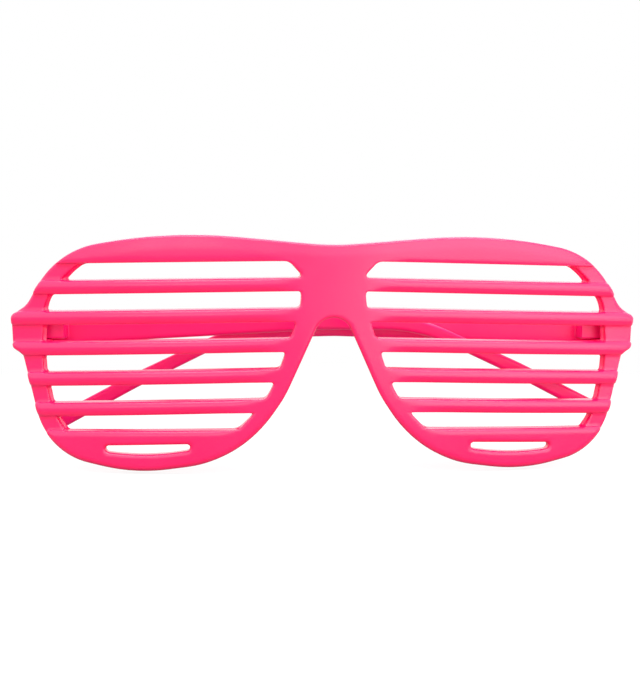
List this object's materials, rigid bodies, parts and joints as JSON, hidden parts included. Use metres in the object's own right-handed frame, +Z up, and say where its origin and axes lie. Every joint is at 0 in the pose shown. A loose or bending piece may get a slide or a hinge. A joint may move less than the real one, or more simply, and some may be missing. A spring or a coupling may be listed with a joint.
{
  "type": "slatted party glasses",
  "caption": "Folding party glasses: a one-piece wrapped front with slatted lens openings and a nose arch, on temples with dropped ear hooks.",
  "frame": {"origin": "the top of the nose arch's underside, in the middle of the front's thickness, where the glasses sit on the nose", "axes": "+Z up as worn, +X from the arm at the left of the picture towards the other arm, the front faces -Y, and the temples fold behind it at +Y"},
  "size_m": [0.1498, 0.0226, 0.0549],
  "materials": {
    "front_plastic": "glossy moulded pink, coloured right through",
    "temple_plastic": "glossy moulded pink, a little deeper than the front",
    "pin_steel": "bright drawn wire"
  },
  "bodies": {
    "front": {"front_frame": "front_plastic", "left_hinge_pin": "pin_steel", "right_hinge_pin": "pin_steel"},
    "left_temple": {"left_temple": "temple_plastic"},
    "right_temple": {"right_temple": "temple_plastic"}
  },
  "joints": [
    {"name": "left_temple_hinge", "type": "hinge", "parent": "front", "child": "left_temple", "pos_m": [-0.0682, 0.01339, -0.004], "axis": [0, 0, 1], "range_deg": [0, 91.5]},
    {"name": "right_temple_hinge", "type": "hinge", "parent": "front", "child": "right_temple", "pos_m": [0.0682, 0.01339, -0.004], "axis": [0, 0, -1], "range_deg": [0, 88.5]}
  ]
}
